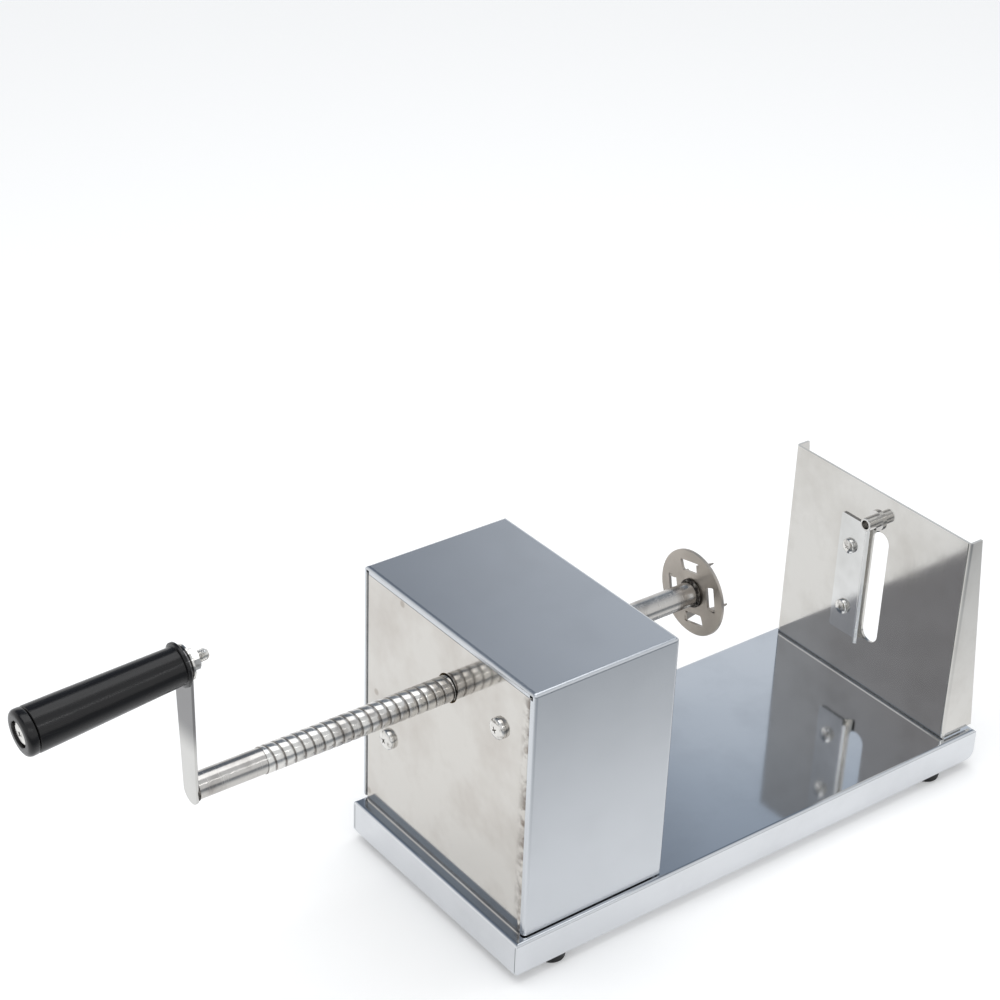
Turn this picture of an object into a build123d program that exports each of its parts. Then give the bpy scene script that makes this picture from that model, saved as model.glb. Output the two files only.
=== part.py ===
# Hand-cranked spiral potato cutter in folded stainless sheet.
# Millimetres. The origin lies on the bench plane under the middle of the base.
# +X runs along the feed shaft from the crank to the blade, +Y is the side away from the user, +Z is up.

import os
from math import atan2, cos, degrees, hypot, radians, sin, sqrt, tan

from build123d import *

os.makedirs("parts", exist_ok=True)

# ------------------------------------------------ driving sizes

# base tray
base_length = 340.0
base_width = 150.0
base_side = 19.5
base_sheet = 1.2
base_bend = 2.0
base_seam = 0.4
base_flange = 22.0
base_flange_setback = 14.0
base_corner_blade_end = 5.5
base_corner_crank_end = 0.8

# feet
foot_height = 6.0
foot_radius = 8.5
foot_taper = 5.0
foot_inset_x = 30.0
foot_inset_y = 9.0
foot_recess_radius = 4.4
foot_recess_depth = 3.5
foot_edge = 0.8

# housing
housing_inset = 7.0
housing_near_inset = 3.5
housing_far_inset = 0.0
housing_length = 92.5
housing_height = 150.0
cover_sheet = 1.3
cover_bend = 2.0
cover_base_gap = 0.8
cover_lip = 3.6
cover_relief = 2.4
cover_relief_overlap = 0.6
cover_corner = 1.5
panel_sheet = 1.2
panel_bend = 2.0
panel_flange = 15.0
panel_side_gap = 0.15
panel_lip_gap = 0.6
panel_recess = 0.3
panel_relief = 3.0
foot_screw_reach = 8.5
foot_screw_spacing = 96.0
cover_screw_inset = 6.6
cover_screw_drop = 17.0

# feed shaft
axis_height = 114.5
shaft_radius = 6.75
thread_radius = 7.25
thread_pitch = 5.6
groove_width = 1.2
groove_depth = 0.45
shaft_crank_reach = 151.1
thread_crank_reach = 111.0
thread_length = 169.0
spigot_radius = 5.0
skewer_radius = 2.5
skewer_play = 0.3
skewer_socket_depth = 30.0
thread_edge = 0.3

# front panel fixings that carry the feed plate
panel_hole_radius = 8.2
upper_screw_y = -44.3
upper_screw_height = 115.5
lower_screw_y = 52.0
lower_screw_height = 52.3

# feed plate, nut and pins
feed_plate_thickness = 3.0
feed_plate_width = 24.0
feed_nut_radius = 14.0
feed_nut_length = 20.0
feed_nut_flange_radius = 23.0
feed_nut_flange = 4.0
feed_nut_screw_circle = 18.5
pin_body_radius = 2.5
pin_share = 0.6
pin_tip_radius = 0.5
pin_floor_gap = 0.1
pin_thread_gap = 0.3

# guide bush in the rear panel
bush_radius = 9.0
bush_flange_radius = 12.0
bush_flange = 2.5
bush_reach = 4.6
bush_end_gap = 0.1
clip_width = 1.0
clip_depth = 0.8
clip_radius = 11.0
clip_opening = 7.0

# crank
arm_thickness = 1.5
arm_width = 16.0
arm_foot_width = 12.5
arm_throw = 80.0
arm_heel = 3.0
arm_lean = -7.0
arm_splay = 5.0
arm_edge = 0.3
grip_length = 82.0
grip_inner_radius = 9.5
grip_outer_radius = 11.4
grip_flange_radius = 11.2
grip_flange = 2.0
grip_gap = 0.3
grip_edge = 0.7
cap_length = 5.6
cap_edge = 2.4
cap_plug_radius = 8.0
cap_plug_length = 4.0
cap_groove = 0.6
cap_recess_radius = 6.5
cap_recess_depth = 4.0
bolt_shoulder_radius = 3.5
bolt_head_radius = 6.2
bolt_head_height = 3.0
bolt_stud = 12.0
washer_radius = 9.0
washer_thickness = 1.2

# fork
fork_reach = 172.0
fork_radius = 25.0
fork_thickness = 1.8
window_inner = 12.2
window_outer = 18.6
window_inner_width = 12.6
window_outer_width = 15.2
window_turn = 12.0
window_corner = 1.0
window_count = 4
prong_length = 10.0
prong_thickness = 1.4
weld_leg = 2.6
weld_length = 3.0

# blade plate
plate_inset = 25.0
plate_sheet = 1.5
plate_bend = 2.2
plate_height = 132.5
plate_near_inset = 4.5
plate_far_inset = 4.0
plate_foot_depth = 24.5
plate_top_depth = 9.4
plate_foot_flange = 18.0
plate_relief = 4.0
plate_screw_reach = 10.0
plate_screw_spacing = 44.0
plate_screw_count = 3
slot_width = 13.0
slot_offset = 4.5
slot_bottom = 33.3
slot_top = 108.0

# blade and skewer tube
blade_sheet = 1.2
blade_bottom = 30.0
blade_top = 108.0
blade_inner_y = 7.0
blade_outer_y = 27.0
blade_rise = 4.0
blade_rise_run = 4.0
blade_lip = 2.0
blade_bevel = 1.4
blade_corner = 1.5
blade_screw_y = 17.7
blade_screw_lower = 47.0
blade_screw_upper = 89.0
tube_radius = 4.0
tube_front = 10.0
tube_back = 6.0
tube_collar_radius = 6.2
tube_collar = 1.5

# fasteners
m3_radius = 1.5
m3_head_radius = 2.8
m3_head_height = 2.0
m4_radius = 2.0
m4_head_radius = 4.0
m4_head_height = 2.5
m4_nut_flats = 7.0
m4_nut_height = 3.2
m5_radius = 2.5
m5_head_radius = 4.7
m5_head_height = 2.9
m5_nut_flats = 8.0
m5_nut_height = 4.0
m6_radius = 3.0
m6_head_radius = 5.85
m6_head_height = 3.6
m6_nut_flats = 10.0
m6_nut_height = 5.0
screw_play = 0.25
screw_end = 1.2
running_fit = 0.05
cross_width = 0.22
cross_reach = 0.62
cross_depth = 0.5
dome_share = 0.55
nut_edge = 0.3

# ------------------------------------------------ levels and places worked out from them

base_top = foot_height + base_side
crank_end = -base_length / 2
blade_end = base_length / 2
near_side = -base_width / 2
far_side = base_width / 2

foot_spacing_x = base_length - 2 * foot_inset_x
foot_spacing_y = base_width - 2 * foot_inset_y

cover_front = crank_end + housing_inset
cover_back = cover_front + housing_length
cover_near = near_side + housing_near_inset
cover_far = far_side - housing_far_inset
cover_width = cover_far - cover_near
cover_middle = (cover_near + cover_far) / 2
cover_top = base_top + housing_height

panel_front = cover_front + panel_recess
panel_back = cover_back - panel_recess
panel_near = cover_near + cover_lip + panel_lip_gap
panel_far = cover_far - cover_sheet - panel_side_gap
panel_width = panel_far - panel_near
panel_middle = (panel_near + panel_far) / 2
panel_height = housing_height - cover_lip - panel_lip_gap

shaft_z = base_top + axis_height
shaft_start = cover_front - shaft_crank_reach
thread_start = cover_front - thread_crank_reach
thread_end = thread_start + thread_length
fork_back = crank_end + fork_reach
fork_front = fork_back + fork_thickness
fit_radius = thread_radius + running_fit

# distances along the grip's own axis, from the outer face of the crank arm
grip_start = -grip_gap
grip_end = grip_start - grip_length
cap_joint = grip_end + cap_length
recess_floor = grip_end + cap_recess_depth

feed_plate_front = panel_front + panel_sheet
feed_plate_back = feed_plate_front + feed_plate_thickness
feed_nut_end = feed_plate_back + feed_nut_length
upper_screw_z = base_top + upper_screw_height
lower_screw_z = base_top + lower_screw_height

bush_wall = panel_back - panel_sheet

plate_face = blade_end - plate_inset
plate_back = plate_face + plate_sheet
plate_near = near_side + plate_near_inset
plate_far = far_side - plate_far_inset
plate_width = plate_far - plate_near
plate_middle = (plate_near + plate_far) / 2
plate_top = base_top + plate_height
slot_middle = base_top + (slot_bottom + slot_top) / 2
slot_length = slot_top - slot_bottom
blade_face = plate_face - blade_sheet

shaft_axis = Axis((0, 0, shaft_z), (1, 0, 0))
shaft_section = Plane(origin=(0, 0, shaft_z), x_dir=(1, 0, 0), z_dir=(0, -1, 0))

# the arm leans sideways by arm_lean and is splayed away from the housing; local x runs up the arm
lean = radians(arm_lean)
splay = radians(arm_splay)
arm_up = Vector(-sin(splay), cos(splay) * sin(lean), cos(splay) * cos(lean))
arm_through = Vector(cos(splay), sin(splay) * sin(lean), sin(splay) * cos(lean))
arm_plane = Plane(origin=(shaft_start, 0, shaft_z), x_dir=arm_up, z_dir=arm_through)
grip_hub = Vector(shaft_start, 0, shaft_z) + arm_up * arm_throw
grip_axis = Axis(grip_hub, arm_through)
grip_section = Plane(origin=grip_hub, x_dir=arm_through, z_dir=arm_plane.y_dir)


def across_shaft(x):
    """Plane square to the shaft, centred on its axis: local x is +Y, local y is +Z."""
    return Plane(origin=(x, 0, shaft_z), x_dir=(0, 1, 0), z_dir=(1, 0, 0))


def across_grip(along):
    """Plane square to the grip, centred on its axis, at a distance from the arm's outer face."""
    return Plane(origin=grip_hub + arm_through * along, x_dir=arm_up, z_dir=arm_through)


# ------------------------------------------------ fasteners


def screws(seats, radius, head_radius, head_height, length):
    """Cross-recessed pan-head screws; each seat is the plane under a head and faces out of the work."""
    with BuildPart() as group:
        for seat in seats:
            profile = Plane(origin=seat.origin, x_dir=seat.x_dir, z_dir=-seat.y_dir)
            rise = head_height * dome_share
            flank = head_height - rise
            dome_radius = (head_radius**2 + rise**2) / (2 * rise)
            dome_middle = head_height - dome_radius + sqrt(dome_radius**2 - (head_radius / 2)**2)
            with BuildSketch(profile):
                with BuildLine():
                    Polyline((0, head_height), (0, -length), (radius, -length), (radius, 0),
                             (head_radius, 0), (head_radius, flank))
                    ThreePointArc((head_radius, flank), (head_radius / 2, dome_middle), (0, head_height))
                make_face()
            revolve(axis=Axis(seat.origin, seat.z_dir))
            with BuildSketch(seat.offset(head_height)):
                Rectangle(2 * head_radius * cross_reach, head_radius * cross_width)
                Rectangle(head_radius * cross_width, 2 * head_radius * cross_reach)
            extrude(amount=-head_height * cross_depth, mode=Mode.SUBTRACT)
    return group


def nuts(seats, radius, flats, height):
    """Hexagon nuts; each seat is the plane under a nut and faces away from the work."""
    with BuildPart() as group:
        for seat in seats:
            with BuildSketch(seat):
                RegularPolygon(flats / 2, side_count=6, major_radius=False)
                Circle(radius + running_fit, mode=Mode.SUBTRACT)
            extrude(amount=height)
    return group


def drill(places, plane, radius, depth):
    """Round holes through the part being built, at places in a plane, both ways from it."""
    with BuildSketch(plane) as holes:
        with Locations(*places):
            Circle(radius)
    extrude(holes.sketch, amount=depth, both=True, mode=Mode.SUBTRACT)


def finish(part, name):
    part.label = name
    export_step(part, "parts/" + name + ".step")


# ------------------------------------------------ places of the fasteners

foot_places = [(sx * foot_spacing_x / 2, sy * foot_spacing_y / 2) for sx in (-1, 1) for sy in (-1, 1)]

panel_foot_x = (panel_front + foot_screw_reach, panel_back - foot_screw_reach)
panel_foot_y = (panel_middle - foot_screw_spacing / 2, panel_middle + foot_screw_spacing / 2)
panel_foot_places = [(x, y) for x in panel_foot_x for y in panel_foot_y]

plate_foot_x = plate_face + plate_screw_reach
plate_first_y = plate_middle - plate_screw_spacing * (plate_screw_count - 1) / 2
plate_foot_places = [(plate_foot_x, plate_first_y + plate_screw_spacing * i) for i in range(plate_screw_count)]

cover_screw_z = cover_top - cover_screw_drop
cover_screw_x = (cover_front + cover_screw_inset, cover_back - cover_screw_inset)

blade_screw_z = (base_top + blade_screw_lower, base_top + blade_screw_upper)

feed_screw_places = [(upper_screw_y, upper_screw_z), (lower_screw_y, lower_screw_z)]
nut_screw_places = [(-feed_nut_screw_circle, 0), (feed_nut_screw_circle, 0)]

# the groove passes the top of the shaft at each whole turn from its start, and the underside half a turn on
groove_lead = thread_pitch / 2
groove_start = thread_start - groove_lead
turns_to_pin = round((feed_plate_back + feed_nut_length * pin_share - groove_start) / thread_pitch)
upper_pin_x = groove_start + turns_to_pin * thread_pitch
lower_pin_x = upper_pin_x - thread_pitch / 2
pin_seats = [Plane(origin=(upper_pin_x, 0, shaft_z + feed_nut_radius), x_dir=(1, 0, 0), z_dir=(0, 0, 1)),
             Plane(origin=(lower_pin_x, 0, shaft_z - feed_nut_radius), x_dir=(1, 0, 0), z_dir=(0, 0, -1))]

# ------------------------------------------------ base tray: a top sheet with four turned-down sides

with BuildPart() as base_tray:
    with BuildSketch(Plane.XY.offset(foot_height)):
        Rectangle(base_length, base_width)
    extrude(amount=base_side)
    fillet(base_tray.faces().sort_by(Axis.Z)[-1].edges(), base_bend)
    offset(amount=-base_sheet, openings=base_tray.faces().sort_by(Axis.Z)[0])
    # open seams where the end sides butt against the long sides
    with BuildSketch(Plane.XY.offset(foot_height)):
        with GridLocations(base_length - base_sheet, base_width - 2 * base_sheet - base_seam, 2, 2):
            Rectangle(2 * base_bend, base_seam)
    extrude(amount=base_side - base_bend, mode=Mode.SUBTRACT)
    # rounded lower corners of the long sides, larger at the blade end
    bottom_corners = base_tray.edges().group_by(Axis.Z)[0].filter_by(Axis.Y)
    long_side_corners = bottom_corners.filter_by(lambda e: e.length < 2 * base_sheet)
    fillet(long_side_corners.group_by(Axis.X)[-1], base_corner_blade_end)
    fillet(long_side_corners.group_by(Axis.X)[0], base_corner_crank_end)
    # return flanges along the long sides carry the feet
    with BuildSketch(Plane.XY.offset(foot_height)):
        with GridLocations(0, base_width - base_sheet - base_flange, 1, 2):
            Rectangle(base_length - 2 * base_flange_setback, base_flange)
    extrude(amount=base_sheet)
    drill(foot_places, Plane.XY.offset(foot_height), m4_radius + screw_play, base_sheet)
    drill(panel_foot_places + plate_foot_places, Plane.XY.offset(base_top), m4_radius + screw_play, base_bend)
finish(base_tray.part, "base_tray")

# ------------------------------------------------ feet

with BuildPart() as rubber_feet:
    with BuildSketch(Plane.XY.offset(foot_height)):
        with Locations(*foot_places):
            Circle(foot_radius)
    extrude(amount=-foot_height, taper=foot_taper)
    fillet(rubber_feet.faces().group_by(Axis.Z)[0].edges(), foot_edge)
    with BuildSketch(Plane.XY):
        with Locations(*foot_places):
            Circle(foot_recess_radius)
    extrude(amount=foot_recess_depth, mode=Mode.SUBTRACT)
    drill(foot_places, Plane.XY.offset(foot_height), m4_radius + screw_play, foot_height)
finish(rubber_feet.part, "rubber_feet")

foot_screw_seats = [Plane(origin=(x, y, foot_recess_depth), z_dir=(0, 0, -1)) for x, y in foot_places]
foot_grip = foot_height - foot_recess_depth + base_sheet + m4_nut_height + screw_end
foot_screws = screws(foot_screw_seats, m4_radius, m4_head_radius, m4_head_height, foot_grip)
finish(foot_screws.part, "foot_screws")

foot_nut_seats = [Plane(origin=(x, y, foot_height + base_sheet), z_dir=(0, 0, 1)) for x, y in foot_places]
foot_nuts = nuts(foot_nut_seats, m4_radius, m4_nut_flats, m4_nut_height)
finish(foot_nuts.part, "foot_nuts")

# ------------------------------------------------ housing end panels: a face with flanges turned inward


def end_panel(face, inward):
    """Folded end panel standing on the base: face, two side flanges and a foot flange."""
    with BuildPart() as panel:
        with BuildSketch(Plane.YZ.offset(face)):
            with Locations((panel_middle, base_top + panel_height / 2)):
                Rectangle(panel_width, panel_height)
        extrude(amount=inward * panel_flange)
        by_x = panel.faces().sort_by(Axis.X)
        outer = by_x[0] if inward > 0 else by_x[-1]
        fillet(outer.edges().sort_by(Axis.Z)[:-1], panel_bend)
        by_x = panel.faces().sort_by(Axis.X)
        inner = by_x[-1] if inward > 0 else by_x[0]
        offset(amount=-panel_sheet, openings=[inner, panel.faces().sort_by(Axis.Z)[-1]])
        # relief at the lower corners, between the foot flange and the side flanges
        relief_start = face + inward * panel_bend
        with BuildSketch(Plane.YZ.offset(relief_start)):
            with Locations((panel_middle, base_top)):
                with GridLocations(panel_width, 0, 2, 1):
                    Rectangle(2 * panel_relief, 2 * panel_relief)
        extrude(amount=inward * panel_flange, mode=Mode.SUBTRACT)
        drill(panel_foot_places, Plane.XY.offset(base_top), m4_radius + screw_play, panel_bend)
        far_flange = Plane(origin=(0, cover_far, cover_screw_z), x_dir=(1, 0, 0), z_dir=(0, -1, 0))
        drill([(x, 0) for x in cover_screw_x], far_flange, m4_radius + screw_play, panel_flange)
    return panel


front = end_panel(panel_front, 1)
with BuildPart() as front_panel:
    add(front.part)
    drill([(0, 0)], across_shaft(panel_front), panel_hole_radius, panel_bend)
    drill(feed_screw_places, Plane.YZ.offset(panel_front), m6_radius + screw_play, panel_bend)
finish(front_panel.part, "front_panel")

rear = end_panel(panel_back, -1)
with BuildPart() as rear_panel:
    add(rear.part)
    drill([(0, 0)], across_shaft(panel_back), bush_radius + running_fit, panel_bend)
finish(rear_panel.part, "rear_panel")

panel_foot_top = base_top + panel_sheet
housing_seats = [Plane(origin=(x, y, panel_foot_top), z_dir=(0, 0, 1)) for x, y in panel_foot_places]
housing_grip = panel_sheet + base_sheet + m4_nut_height + screw_end
housing_screws = screws(housing_seats, m4_radius, m4_head_radius, m4_head_height, housing_grip)
finish(housing_screws.part, "housing_screws")

under_base = base_top - base_sheet
housing_nut_seats = [Plane(origin=(x, y, under_base), z_dir=(0, 0, -1)) for x, y in panel_foot_places]
housing_nuts = nuts(housing_nut_seats, m4_radius, m4_nut_flats, m4_nut_height)
finish(housing_nuts.part, "housing_nuts")

# ------------------------------------------------ housing cover: a hood lipped along its top and near side

cover_bottom = base_top + cover_base_gap
cover_centre_x = (cover_front + cover_back) / 2
with BuildPart() as housing_cover:
    with BuildSketch(Plane.XY.offset(cover_bottom)):
        with Locations((cover_centre_x, cover_middle)):
            Rectangle(housing_length, cover_width)
    extrude(amount=cover_top - cover_bottom)
    top_edges = housing_cover.faces().sort_by(Axis.Z)[-1].edges()
    near_corners = housing_cover.edges().filter_by(Axis.Z).group_by(Axis.Y)[0]
    fillet(top_edges + near_corners, cover_bend)
    offset(amount=-cover_sheet, openings=housing_cover.faces().sort_by(Axis.Z)[0])
    # openings in both ends, framed by a lip along the top and another along the near side
    opening_near = cover_near + cover_lip
    opening_far = cover_far - cover_sheet
    with BuildSketch(Plane.YZ.offset(cover_front)) as end_openings:
        with Locations((opening_near, cover_top - cover_lip)):
            Rectangle(opening_far - opening_near, cover_top, align=(Align.MIN, Align.MAX))
        # relief where the lips meet the neighbouring sides
        relief_foot = cover_top - cover_lip - cover_relief_overlap
        with Locations((opening_near + cover_relief_overlap, relief_foot), (opening_far, relief_foot)):
            Rectangle(cover_relief, cover_relief, align=(Align.MAX, Align.MIN))
    extrude(amount=housing_length, mode=Mode.SUBTRACT)
    side_corners = housing_cover.edges().group_by(Axis.Z)[0].filter_by(Axis.Y).group_by(Axis.Y)[-1]
    fillet(side_corners, cover_corner)
    cover_far_side = Plane(origin=(0, cover_far, cover_screw_z), x_dir=(1, 0, 0), z_dir=(0, -1, 0))
    drill([(x, 0) for x in cover_screw_x], cover_far_side, m4_radius + screw_play, 2 * cover_sheet)
finish(housing_cover.part, "housing_cover")

cover_seats = [Plane(origin=(x, cover_far, cover_screw_z), z_dir=(0, 1, 0)) for x in cover_screw_x]
cover_stack = cover_sheet + panel_side_gap + panel_sheet
cover_screws = screws(cover_seats, m4_radius, m4_head_radius, m4_head_height,
                      cover_stack + m4_nut_height + screw_end)
finish(cover_screws.part, "cover_screws")

cover_nut_seats = [Plane(origin=(x, cover_far - cover_stack, cover_screw_z), x_dir=(0, 0, 1), z_dir=(0, -1, 0))
                   for x in cover_screw_x]
cover_nuts = nuts(cover_nut_seats, m4_radius, m4_nut_flats, m4_nut_height)
finish(cover_nuts.part, "cover_nuts")

# ------------------------------------------------ feed plate, hung behind the front panel on two screws

with BuildPart() as feed_plate:
    with BuildSketch(Plane.YZ.offset(feed_plate_front)):
        for y, z in feed_screw_places:
            with Locations((y / 2, (z + shaft_z) / 2)):
                SlotCenterToCenter(hypot(y, z - shaft_z), feed_plate_width,
                                   rotation=degrees(atan2(z - shaft_z, y)))
        with Locations((0, shaft_z)):
            Circle(feed_nut_flange_radius)
    extrude(amount=feed_plate_thickness)
    drill([(0, 0)], across_shaft(feed_plate_front), panel_hole_radius, feed_plate_thickness)
    drill(feed_screw_places, Plane.YZ.offset(feed_plate_front), m6_radius + screw_play, feed_plate_thickness)
    drill(nut_screw_places, across_shaft(feed_plate_front), m3_radius + running_fit, feed_plate_thickness)
finish(feed_plate.part, "feed_plate")

panel_screw_seats = [Plane(origin=(panel_front, y, z), x_dir=(0, 1, 0), z_dir=(-1, 0, 0))
                     for y, z in feed_screw_places]
panel_screw_grip = panel_sheet + feed_plate_thickness + m6_nut_height + screw_end
panel_screws = screws(panel_screw_seats, m6_radius, m6_head_radius, m6_head_height, panel_screw_grip)
finish(panel_screws.part, "panel_screws")

panel_nut_seats = [Plane(origin=(feed_plate_back, y, z), z_dir=(1, 0, 0)) for y, z in feed_screw_places]
panel_nuts = nuts(panel_nut_seats, m6_radius, m6_nut_flats, m6_nut_height)
finish(panel_nuts.part, "panel_nuts")

# ------------------------------------------------ feed nut: a collar whose two dog pins ride in the groove

with BuildPart() as feed_nut:
    with BuildSketch(across_shaft(feed_plate_back)):
        Circle(feed_nut_flange_radius)
    extrude(amount=feed_nut_flange)
    with BuildSketch(across_shaft(feed_plate_back)):
        Circle(feed_nut_radius)
    extrude(amount=feed_nut_length)
    chamfer(feed_nut.faces().sort_by(Axis.X)[-1].edges(), thread_edge)
    drill([(0, 0)], across_shaft(feed_plate_back), fit_radius, feed_nut_length)
    drill(nut_screw_places, across_shaft(feed_plate_back), m3_radius + screw_play, feed_nut_flange)
    for seat in pin_seats:
        with BuildSketch(seat):
            Circle(pin_body_radius + running_fit)
        extrude(amount=-feed_nut_radius, mode=Mode.SUBTRACT)
finish(feed_nut.part, "feed_nut")

with BuildPart() as feed_pins:
    for seat in pin_seats:
        profile = Plane(origin=seat.origin, x_dir=seat.x_dir, z_dir=-seat.y_dir)
        shoulder = fit_radius + pin_thread_gap - feed_nut_radius
        tip = thread_radius - groove_depth + pin_floor_gap - feed_nut_radius
        with BuildSketch(profile):
            with BuildLine():
                Polyline((0, 0), (pin_body_radius, 0), (pin_body_radius, shoulder), (pin_tip_radius, shoulder),
                         (pin_tip_radius, tip), (0, tip), (0, 0))
            make_face()
        revolve(axis=Axis(seat.origin, seat.z_dir))
finish(feed_pins.part, "feed_pins")

nut_screw_seats = [Plane(origin=(feed_plate_back + feed_nut_flange, y, shaft_z + z), z_dir=(1, 0, 0))
                   for y, z in nut_screw_places]
feed_nut_screws = screws(nut_screw_seats, m3_radius, m3_head_radius, m3_head_height,
                         feed_nut_flange + feed_plate_thickness)
finish(feed_nut_screws.part, "feed_nut_screws")

# ------------------------------------------------ guide bush turning in the rear panel, held by a clip

bush_flange_front = bush_wall - bush_end_gap - bush_flange
bush_end = panel_back + bush_reach
clip_front = panel_back + bush_end_gap

with BuildPart() as guide_bush:
    with BuildSketch(shaft_section):
        with BuildLine():
            Polyline((bush_flange_front, fit_radius), (bush_flange_front, bush_flange_radius),
                     (bush_flange_front + bush_flange, bush_flange_radius),
                     (bush_flange_front + bush_flange, bush_radius), (clip_front, bush_radius),
                     (clip_front, bush_radius - clip_depth), (clip_front + clip_width, bush_radius - clip_depth),
                     (clip_front + clip_width, bush_radius), (bush_end, bush_radius), (bush_end, fit_radius),
                     close=True)
        make_face()
    revolve(axis=shaft_axis)
    chamfer(guide_bush.faces().sort_by(Axis.X)[-1].edges(), thread_edge)
finish(guide_bush.part, "guide_bush")

with BuildPart() as bush_clip:
    with BuildSketch(across_shaft(clip_front)):
        Circle(clip_radius)
        Circle(bush_radius - clip_depth, mode=Mode.SUBTRACT)
        with Locations((0, -bush_radius)):
            Rectangle(clip_opening, bush_radius, mode=Mode.SUBTRACT)
    extrude(amount=clip_width)
finish(bush_clip.part, "bush_clip")

# ------------------------------------------------ feed shaft with its helical groove

arm_inner_face = arm_plane.offset(arm_thickness)
with BuildPart() as thread:
    with BuildSketch(Plane.YZ):
        Circle(thread_radius)
    extrude(amount=thread_length)
    chamfer(thread.edges().filter_by(GeomType.CIRCLE), thread_edge)
    with BuildLine() as turns:
        Helix(thread_pitch, thread_length + 2 * groove_lead, thread_radius,
              center=(-groove_lead, 0, 0), direction=(1, 0, 0))
    groove_plane = Plane(origin=turns.line @ 0, x_dir=(1, 0, 0), z_dir=turns.line % 0)
    with BuildSketch(groove_plane):
        Rectangle(groove_width, 2 * groove_depth)
    sweep(path=turns.line, is_frenet=True, mode=Mode.SUBTRACT)

with BuildPart() as feed_shaft:
    add(thread.part.moved(Location((thread_start, 0, shaft_z))))
    # plain rod on both sides of the thread, turned down to a spigot where the fork sits
    for start, stop, radius in ((shaft_start, thread_start, shaft_radius), (thread_end, fork_back, shaft_radius),
                                (fork_back, fork_front, spigot_radius)):
        with BuildSketch(across_shaft(start)):
            Circle(radius)
        extrude(amount=stop - start)
    # socket that takes the skewer's point
    with BuildSketch(across_shaft(fork_front)):
        Circle(skewer_radius + skewer_play)
    extrude(amount=-skewer_socket_depth, mode=Mode.SUBTRACT)
    # the crank end is cut at the arm's slant
    split(bisect_by=arm_inner_face, keep=Keep.TOP)
finish(feed_shaft.part, "feed_shaft")

# ------------------------------------------------ crank arm and its bolt

with BuildPart() as crank_arm:
    with BuildSketch(arm_plane):
        with Locations((arm_throw, 0)):
            Circle(arm_width / 2)
        with Locations((-arm_heel, 0)):
            Circle(arm_foot_width / 2)
        make_hull()
        with Locations((arm_throw, 0)):
            Circle(m6_radius + running_fit, mode=Mode.SUBTRACT)
    extrude(amount=arm_thickness)
    for face in crank_arm.faces().filter_by(grip_axis):
        fillet(face.outer_wire().edges(), arm_edge)
finish(crank_arm.part, "crank_arm")

head_seat = recess_floor - grip_gap
head_top = head_seat - bolt_head_height
bolt_end = arm_thickness + bolt_stud
with BuildPart() as grip_bolt:
    with BuildSketch(grip_section):
        with BuildLine():
            Polyline((head_top, 0), (head_top, bolt_head_radius * cross_reach),
                     (head_seat - bolt_head_height / 2, bolt_head_radius), (head_seat, bolt_head_radius),
                     (head_seat, bolt_shoulder_radius), (0, bolt_shoulder_radius), (0, m6_radius),
                     (bolt_end, m6_radius), (bolt_end, 0), close=True)
        make_face()
    revolve(axis=grip_axis)
    with BuildSketch(across_grip(head_top)):
        Rectangle(bolt_head_radius, bolt_head_radius * cross_width)
        Rectangle(bolt_head_radius * cross_width, bolt_head_radius)
    extrude(amount=bolt_head_height * cross_depth, mode=Mode.SUBTRACT)
finish(grip_bolt.part, "grip_bolt")

with BuildPart() as grip_washer:
    with BuildSketch(across_grip(arm_thickness)):
        Circle(washer_radius)
        Circle(m6_radius + running_fit, mode=Mode.SUBTRACT)
    extrude(amount=washer_thickness)
finish(grip_washer.part, "grip_washer")

grip_nut = nuts([across_grip(arm_thickness + washer_thickness)], m6_radius, m6_nut_flats, m6_nut_height)
finish(grip_nut.part, "grip_nut")

# ------------------------------------------------ grip and its end cap

with BuildPart() as grip:
    with BuildSketch(grip_section):
        with BuildLine():
            Polyline((grip_start, bolt_shoulder_radius + running_fit), (grip_start, grip_flange_radius),
                     (grip_start - grip_flange, grip_flange_radius), (grip_start - grip_flange, grip_inner_radius),
                     (cap_joint, grip_outer_radius), (cap_joint, cap_plug_radius + running_fit),
                     (cap_joint + cap_plug_length + cap_groove, cap_plug_radius + running_fit),
                     (cap_joint + cap_plug_length + cap_groove, bolt_shoulder_radius + running_fit), close=True)
        make_face()
    revolve(axis=grip_axis)
    grip_rims = grip.edges().filter_by(GeomType.CIRCLE)
    fillet(grip_rims.filter_by(lambda e: abs(e.radius - grip_flange_radius) < running_fit), grip_edge)
    chamfer(grip.edges().filter_by(GeomType.CIRCLE).filter_by(
        lambda e: abs(e.radius - grip_outer_radius) < running_fit), cap_groove)
finish(grip.part, "grip")

with BuildPart() as grip_end_cap:
    with BuildSketch(grip_section):
        with BuildLine():
            Polyline((grip_end, cap_recess_radius), (grip_end, grip_outer_radius), (cap_joint, grip_outer_radius),
                     (cap_joint, cap_plug_radius), (cap_joint + cap_plug_length, cap_plug_radius),
                     (cap_joint + cap_plug_length, bolt_shoulder_radius + running_fit),
                     (recess_floor, bolt_shoulder_radius + running_fit), (recess_floor, cap_recess_radius),
                     close=True)
        make_face()
    revolve(axis=grip_axis)
    cap_rims = grip_end_cap.edges().filter_by(GeomType.CIRCLE).filter_by(
        lambda e: abs(e.radius - grip_outer_radius) < running_fit).sort_by(Axis.X)
    fillet(cap_rims[0], cap_edge)
    chamfer(grip_end_cap.edges().filter_by(GeomType.CIRCLE).filter_by(
        lambda e: abs(e.radius - grip_outer_radius) < running_fit).sort_by(Axis.X)[-1], cap_groove)
finish(grip_end_cap.part, "grip_end_cap")

# ------------------------------------------------ fork disc: windows whose tabs are bent out as prongs

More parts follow.
